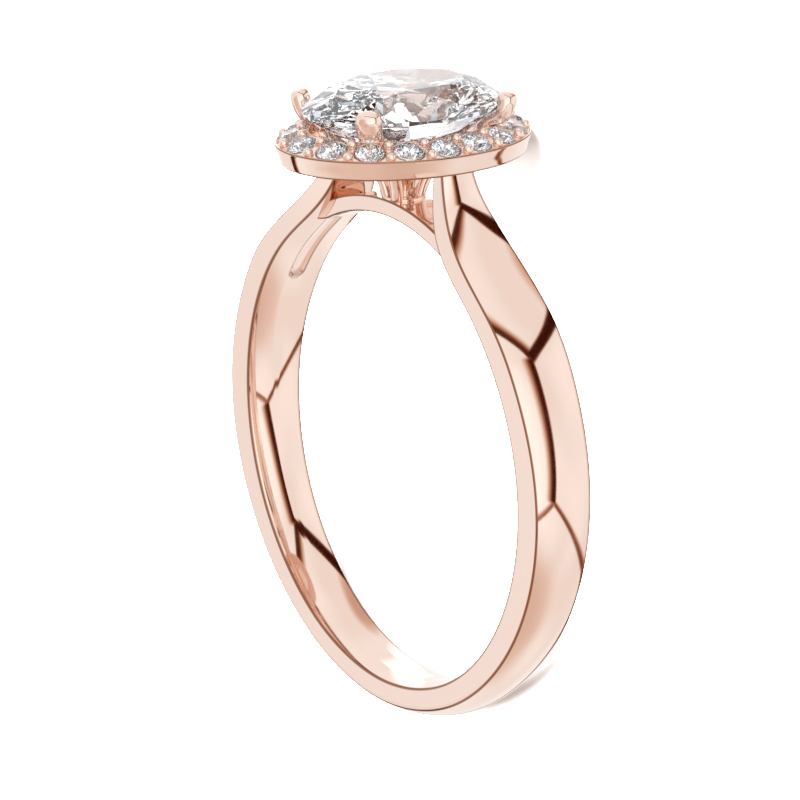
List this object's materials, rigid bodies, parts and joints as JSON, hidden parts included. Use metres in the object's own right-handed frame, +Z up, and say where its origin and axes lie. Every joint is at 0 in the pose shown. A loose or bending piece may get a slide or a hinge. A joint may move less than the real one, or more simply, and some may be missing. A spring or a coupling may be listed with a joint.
{
  "type": "pave diamond ring",
  "caption": "Polished rose gold ring lying on its side: domed band with rising shoulders, an oval diamond in four claws and a halo of small round diamonds.",
  "frame": {"origin": "centre of the finger hole, midway along the finger", "axes": "+Z up from the surface the ring lies on, +Y from the bottom of the band to the halo along that surface, +X across the ring. The finger hole's axis leans 10.3 degrees from +Z, because the ring leans on its halo."},
  "size_m": [0.02, 0.023, 0.0094],
  "materials": {
    "rose_gold": "14 carat rose gold, mirror polished",
    "diamond": "colourless cut diamond with polished facets"
  },
  "bodies": {
    "root": {"ring_mount": "rose_gold", "centre_diamond": "diamond", "halo_diamond_01": "diamond", "halo_diamond_02": "diamond", "halo_diamond_03": "diamond", "halo_diamond_04": "diamond", "halo_diamond_05": "diamond", "halo_diamond_06": "diamond", "halo_diamond_07": "diamond", "halo_diamond_08": "diamond", "halo_diamond_09": "diamond", "halo_diamond_10": "diamond", "halo_diamond_11": "diamond", "halo_diamond_12": "diamond", "halo_diamond_13": "diamond", "halo_diamond_14": "diamond", "halo_diamond_15": "diamond", "halo_diamond_16": "diamond", "halo_diamond_17": "diamond"}
  },
  "joints": []
}
